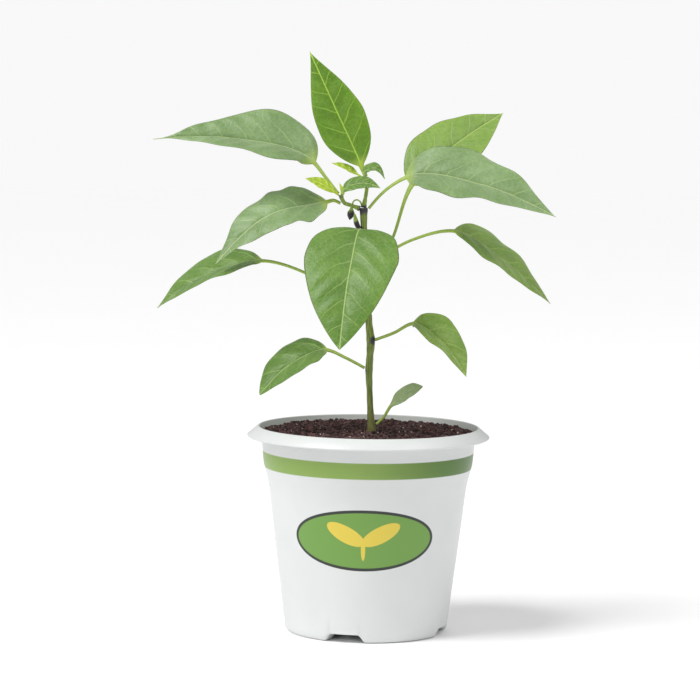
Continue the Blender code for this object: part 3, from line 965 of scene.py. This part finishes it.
@dataclass
class Plant:
    """Stem, branches, buds and leaves."""

    stem: bpy.types.Material
    branch: bpy.types.Material
    bud: bpy.types.Material
    sprout: bpy.types.Material
    leaf: bpy.types.Material
    waxy_painted_sheen: bpy.types.Material
    right_leaves_painted_light: bpy.types.Material
    sunlit: bpy.types.Material
    young: bpy.types.Material
    tender: bpy.types.Material
    seed: bpy.types.Material
    rings: tuple[tuple[float, float, float, float], ...] = (
        (-4.0, -5.0, 199.3, 3.2), (1.6, -9.8, 138.5, 2.6), (-1.8, -9.5, 124.5, 1.7),
        (-4.6, -6.0, 190.6, 1.6), (-14.4, -7.0, 205.6, 1.2),
    )

    def shoots(self) -> list[Shoot]:
        """Stem, branches and buds."""
        rings = self.rings
        return [
            Shoot("stem", "main_stem", (
                (1.6, -12.0, 78.0, 2.0), (1.6, -12.0, 90.0, 2.0), (1.5, -11.9, 94.5, 2.05),
                (0.8, -11.0, 104.0, 1.6), (0.2, -10.0, 115.0, 1.4), (-0.2, -9.5, 124.5, 1.75),
                (0.1, -9.2, 131.0, 1.65), (0.4, -9.0, 138.0, 2.0), (-0.4, -8.5, 145.0, 1.7),
                (-1.2, -8.0, 152.0, 1.8), (-2.1, -8.0, 164.0, 1.75), (-3.1, -6.0, 183.0, 1.75),
                (-3.6, -5.2, 195.0, 1.6), (-3.7, -5.0, 200.3, 2.0)),
                self.stem, Slot.STEM, rings),
            Shoot("branch_left", "left_branch", (
                (-5.6, -5.2, 200.0, 1.3), (-7.5, -5.5, 200.7, 1.0), (-10.0, -5.8, 201.6, 0.9),
                (-12.6, -6.2, 202.5, 0.95), (-13.8, -6.7, 204.2, 0.9), (-14.4, -7.0, 206.3, 1.3)),
                self.branch, Slot.BRANCH, rings),
            Shoot("branch_top", "top_branch", (
                (-3.7, -5.0, 200.4, 1.4), (-3.1, -4.8, 204.0, 0.95), (-2.4, -4.4, 209.0, 0.9),
                (-2.6, -4.2, 214.3, 1.25)),
                self.branch, Slot.BRANCH, rings),
            Shoot("hooked_bud", "crown_bud", (
                (-4.6, -3.9, 201.6, 0.4), (-5.4, -3.3, 203.2, 0.35), (-6.8, -3.0, 204.0, 0.35),
                (-8.2, -2.8, 203.5, 0.35), (-9.0, -2.8, 201.8, 0.4), (-9.3, -2.9, 200.0, 0.7),
                (-9.5, -2.9, 198.2, 1.5), (-9.8, -3.0, 196.4, 1.45), (-10.2, -3.0, 194.6, 0.25)),
                self.bud, Slot.BUD, ((-9.7, -3.0, 196.5, 3.0),), ridge=0.07, steps=6),
            Shoot("side_bud", "side_shoot", (
                (-5.6, -6.0, 190.5, 0.9), (-6.9, -6.2, 193.0, 1.15), (-7.5, -6.4, 195.4, 0.9),
                (-8.0, -6.5, 197.8, 0.2)),
                self.bud, Slot.BUD, ((-6.6, -6.2, 192.4, 2.6),), ridge=0.1, steps=6),
            Shoot("growing_tip", "shoot_tip", (
                (-13.6, -6.7, 206.5, 0.75), (-13.7, -6.6, 208.4, 0.85), (-14.4, -6.6, 210.2, 0.6),
                (-15.1, -6.6, 211.8, 0.12)),
                self.sprout, Slot.YOUNG, (), ridge=0.18, ridges=3, steps=6),
        ]

    def leaves(self) -> list[Leaf]:
        """All leaves, with the same places and outlines as the CAD solids."""
        leaf, young = self.leaf, self.young
        small = {"stalk": 0.4, "wave": 0.1, "spacing": 3.5, "slot": Slot.YOUNG, "stations": 48}
        return [
            Leaf("leaf_top", (-2.9, -3.8, 215.0), 0, (-5, -3, 220), (-30, 6, 273), (0, 0), 24, -78,
                 8, (0.8, 1.3), self.sunlit, wave=0.3, uneven=0.02, seed=1),
            Leaf("leaf_upper_left", (-15.6, -6.8, 206.9), 0, (-27, -4, 221), (-103, 2, 231), (0, 6),
                 38, -38, 31, (0.75, 1.8), self.waxy_painted_sheen, wave=0.7, uneven=0.07, lobes=2.4, seed=2),
            Leaf("leaf_branch_left", (-14.7, -6.6, 202.4), 0, (-21, -8, 203), (-72, -20, 174),
                 (1, 9), 30, -32, 16, (0.6, 1.1), self.waxy_painted_sheen, wave=0.9, uneven=0.06, lobes=5.2, seed=3),
            Leaf("leaf_back_right", (-2, -7, 164), 1.2, (19, 8, 211), (63, 38, 245), (-5, 3), 33,
                 36, 20, (0.7, 1.15), self.right_leaves_painted_light, wave=0.4, seed=4),
            Leaf("leaf_fork_right", (-3.7, -5, 197.5), 1.9, (16, -9, 215), (85, -24, 198), (2, 6),
                 37, 38, 24, (0.6, 1.2), self.waxy_painted_sheen, wave=0.8, uneven=0.05, lobes=3.4, seed=5),
            Leaf("leaf_middle_right", (-2.5, -7, 172), 1.7, (39, -4, 190), (85, 2, 156), (4, 4), 31,
                 26, 16, (0.7, 1.1), self.right_leaves_painted_light, wave=0.5, seed=6),
            Leaf("leaf_front", (-3, -6, 183), 1.7, (-5, -14, 190), (-14, -55, 138), (1, 11), 45, -4,
                 14, (0.65, 0.9), leaf, stalk=0.9, wave=0.35, uneven=0.02, seed=7),
            Leaf("leaf_middle_left", (-1.2, -8, 152), 1.7, (-51, -6, 175), (-100, -4, 152), (4, 5),
                 33, -20, 22, (0.75, 1.1), leaf, wave=0.35, seed=8),
            Leaf("leaf_lower_left", (-0.2, -9.5, 124.5), 1.7, (-20, -12, 134), (-51, -18, 113),
                 (0.5, 5), 27, -24, 20, (0.6, 0.8), leaf, wave=0.3, seed=9),
            Leaf("leaf_lower_right", (0.4, -9, 138), 1.9, (20, -14, 147), (45, -20, 123), (-0.5, 5),
                 26, 26, 30, (0.65, 1.0), self.right_leaves_painted_light, wave=0.35, seed=10),
            Leaf("seed_leaf", (1.3, -11.5, 97), 1.9, (10, -14, 108), (25, -18, 118), (-1, 2), 11,
                 38, 12, (0.8, 0.9), self.seed, stalk=0.6, wave=0.2, seed=11, spacing=5.0,
                 stations=48),
            Leaf("young_leaf_left", (-15.6, -8.2, 206.5), 0, (-17.6, -9.8, 208), (-31, -10.5, 214),
                 (0, 1), 7, -45, 16, (0.7, 1.1), young, seed=12, **small),
            Leaf("young_leaf_front", (-13.5, -8.6, 206.6), 0, (-13.2, -10, 208.4), (4, -14, 210),
                 (0, 3), 11, 35, 16, (0.6, 1.1), self.tender, seed=13, **small),
            Leaf("young_leaf_right", (-3.2, -5.9, 214.4), 0, (-3.6, -6.4, 216.6), (6, -6.4, 214),
                 (0, 4), 8, 30, 20, (0.7, 1.1), self.tender, seed=14, **small),
            Leaf("young_leaf_behind", (-4.2, -3.3, 214.3), 0, (-7, -2, 216), (-19, 0, 221), (0, 1),
                 7, -20, 16, (0.7, 1.1), young, seed=15, **small),
        ]

    def build(self) -> None:
        """Build every shoot and leaf."""
        for piece in (*self.shoots(), *self.leaves()):
            piece.build()


@dataclass
class Studio:
    """Pale floor, soft lights and the camera. Lengths are metres."""

    floor_size: float = 12.0
    camera_place: tuple[float, float, float] = (-0.0092, -1.364, 0.2543)
    pitch: float = 5.08
    roll: float = 0.75
    lens: float = 149.3
    sky_light: float = 0.45
    backdrop: float = 0.945
    key_light: float = 2.05
    key_way: tuple[float, float, float] = (0.62, 0.35, -1.0)

    def build(self) -> None:
        """Make the stage, the lights and the camera."""
        self.floor()
        self.sky()
        self.key()
        self.area("softbox_left", (-1.3, -0.7, 0.7), 0.9, 2.5)
        self.area("softbox_right", (0.85, -0.4, 1.4), 0.9, 6.5)
        self.camera()

    def floor(self) -> None:
        """A plain pale floor."""
        p = Paint("matt_white_sweep")
        colour = p.mix(p.noise(400), "FFFFFF", "FDFDFD")
        material = p.finish(colour, None, roughness=0.9)
        reach = self.floor_size / 2 / MM
        corners = np.array([(-reach, -reach, 0), (reach, -reach, 0), (reach, reach, 0),
                            (-reach, reach, 0)])
        Piece("floor", corners, [(0, 1, 2, 3)], material, Slot.POT).object()

    def sky(self) -> None:
        """Even white light from all round, behind which the camera sees plain white."""
        world = bpy.data.worlds.new("studio")
        world.use_nodes = True
        tree = world.node_tree
        ray = add_node(tree, "ShaderNodeLightPath").outputs["Is Camera Ray"]
        values = {"To Min": self.sky_light, "To Max": self.backdrop}
        level = add_node(tree, "ShaderNodeMapRange", values, {"Value": ray}).outputs["Result"]
        tree.nodes["Background"].inputs["Color"].default_value = (1, 1, 1, 1)
        tree.links.new(level, tree.nodes["Background"].inputs["Strength"])
        bpy.context.scene.world = world

    def key(self) -> None:
        """A large, far, soft light from the upper left and front."""
        lamp = bpy.data.lights.new("key", "SUN")
        lamp.energy, lamp.angle = self.key_light, math.radians(28)
        item = bpy.data.objects.new("key", lamp)
        item.rotation_euler = Vector(self.key_way).to_track_quat("-Z", "Y").to_euler()
        bpy.context.scene.collection.objects.link(item)

    def area(self, name: str, place: tuple[float, float, float], size: float, power: float) -> None:
        """A soft square light that faces the plant."""
        lamp = bpy.data.lights.new(name, "AREA")
        lamp.size, lamp.energy = size, power
        item = bpy.data.objects.new(name, lamp)
        target = Vector((0, 0, 0.14))
        item.location = place
        item.rotation_euler = (target - Vector(place)).to_track_quat("-Z", "Y").to_euler()
        bpy.context.scene.collection.objects.link(item)

    def camera(self) -> None:
        """The camera, level in yaw, pitched down and rolled a little."""
        lens = bpy.data.cameras.new("camera")
        lens.lens, lens.sensor_width = self.lens, 36.0
        item = bpy.data.objects.new("camera", lens)
        tilt = Matrix.Rotation(math.radians(90 - self.pitch), 4, "X")
        roll = Matrix.Rotation(math.radians(self.roll), 4, "Z")
        item.matrix_world = Matrix.Translation(self.camera_place) @ tilt @ roll
        bpy.context.scene.collection.objects.link(item)
        bpy.context.scene.camera = item


def main() -> None:
    """Build the studio, the pot, the soil and the plant."""
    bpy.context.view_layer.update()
    bpy.context.scene.view_settings.view_transform = "Standard"
    Studio().build()
    NurseryPot(MouldedPolypropylene().make()).build()
    peat = PeatCompost().make()
    grit = Mineral("perlite_and_grit", "9A8A84", "D9CBC4").make()
    fibre = Mineral("coir_fibre", "5A2E1E", "8C5638", 1.5).make()
    PottingSoil(peat, [
        Scatter("soil_crumbs", Crumb.GRAIN, peat, 240000.0, 0.5, 2.1, 3),
        Scatter("soil_grit", Crumb.GRAIN, grit, 16000.0, 0.35, 1.1, 5),
        Scatter("soil_fibres", Crumb.FIBRE, fibre, 14000.0, 2.5, 5.5, 8),
    ]).build()
    Plant(
        stem=StemSkin("chilli_stem_epidermis").make(),
        branch=StemSkin("young_branch_epidermis", "8FA548", "728A34", "728A34").make(),
        bud=StemSkin("bud_epidermis", "A9BE62", "7E9440", "7E9440").make(),
        sprout=LeafCuticle("sprout_cuticle", "A9BE2A", "CDDC3C", "DCE878", "C9D870",
                           "B8CC40", "8A8A30").make(),
        leaf=LeafCuticle("waxy_leaf_cuticle").make(),
        # More saturated yellow-green colours for the top leaf: painted glow of light shining through it
        # from behind.
        sunlit=LeafCuticle("sunlit_leaf_cuticle_painted_glow", "4C7210", "6B921E", "A3C84A", "A0BE50",
                           "A3BC48", "4C5A20", 10.0, 0.5, 0.2, 0.5, 0.1).make(),
        # Lighter, cooler grey-green colours for the upward-facing leaves: a painted sheen standing for
        # the sky's reflection, on top of the shader's own sheen.
        waxy_painted_sheen=LeafCuticle("waxy_upper_leaf_cuticle_painted_sheen", "5E7C44", "90A976", "B4C88A", bloom=0.42).make(),
        # Lighter copy of the leaf colours for the right-hand leaves, which face away from the key light:
        # painted light.
        right_leaves_painted_light=LeafCuticle("right_leaf_cuticle_painted_light", "62862D", "92AE54", "B8CC78").make(),
        young=LeafCuticle("young_leaf_cuticle", "8CA81E", "AFC62A", "DCE878", "C9D870",
                          "B8CC40", "8A8A30", 3.5, 0.45, 0.2, 0.25, 0.1).make(),
        tender=LeafCuticle("tender_leaf_cuticle", spacing=3.5, contrast=0.3, bloom=0.3).make(),
        seed=LeafCuticle("seed_leaf_cuticle", "8FA66C", "A3B58A", "B4C48C", "B9C9A0",
                         "9DB552", "7E7A60", 7.0, 0.5, 0.12, 0.25).make(),
    ).build()


if __name__ == "__main__":
    main()
